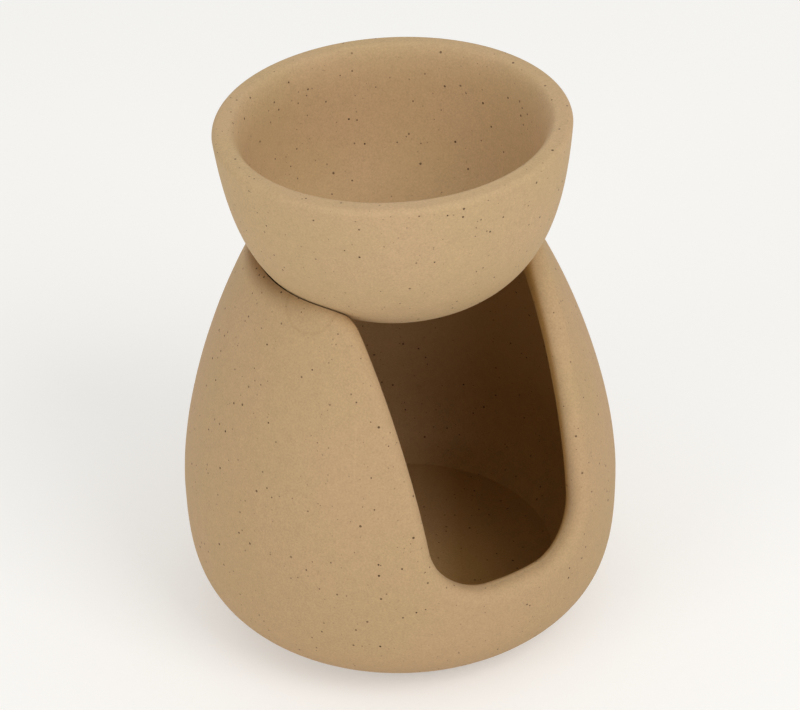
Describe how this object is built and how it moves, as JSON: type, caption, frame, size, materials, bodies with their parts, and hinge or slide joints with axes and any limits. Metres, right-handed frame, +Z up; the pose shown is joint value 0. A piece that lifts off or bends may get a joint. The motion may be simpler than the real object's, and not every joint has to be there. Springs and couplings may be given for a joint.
{
  "type": "essential oil burner",
  "caption": "Egg-shaped stoneware oil burner: a hollow base with an open front mouth for a tealight, and a loose round bowl resting in its rim for water and oil.",
  "frame": {"origin": "centre of the foot ring, on the surface that the burner stands on", "axes": "+Z up, the mouth of the base faces -Y, +X to the right as seen from the mouth"},
  "size_m": [0.105, 0.105, 0.1315],
  "materials": {
    "base_stoneware": "matte speckled stoneware",
    "bowl_stoneware": "matte speckled stoneware",
    "tealight_foil": "bright pressed sheet",
    "tealight_wax": "smooth white wax",
    "wick_tab_steel": "tinned sheet",
    "wick_cotton": "waxed braided cotton"
  },
  "bodies": {
    "base": {"burner_base": "base_stoneware"},
    "bowl": {"oil_bowl": "bowl_stoneware"},
    "tealight": {"tealight_cup": "tealight_foil", "tealight_wax": "tealight_wax", "wick_tab": "wick_tab_steel", "wick": "wick_cotton"}
  },
  "joints": [
    {"name": "bowl_lift", "type": "slide", "parent": "base", "child": "bowl", "axis": [0, 0, 1], "range_m": [0, 0.06]},
    {"name": "tealight_slide", "type": "slide", "parent": "base", "child": "tealight", "axis": [0.8721, -0.4894, 0], "range_m": [0, 0.035]}
  ]
}
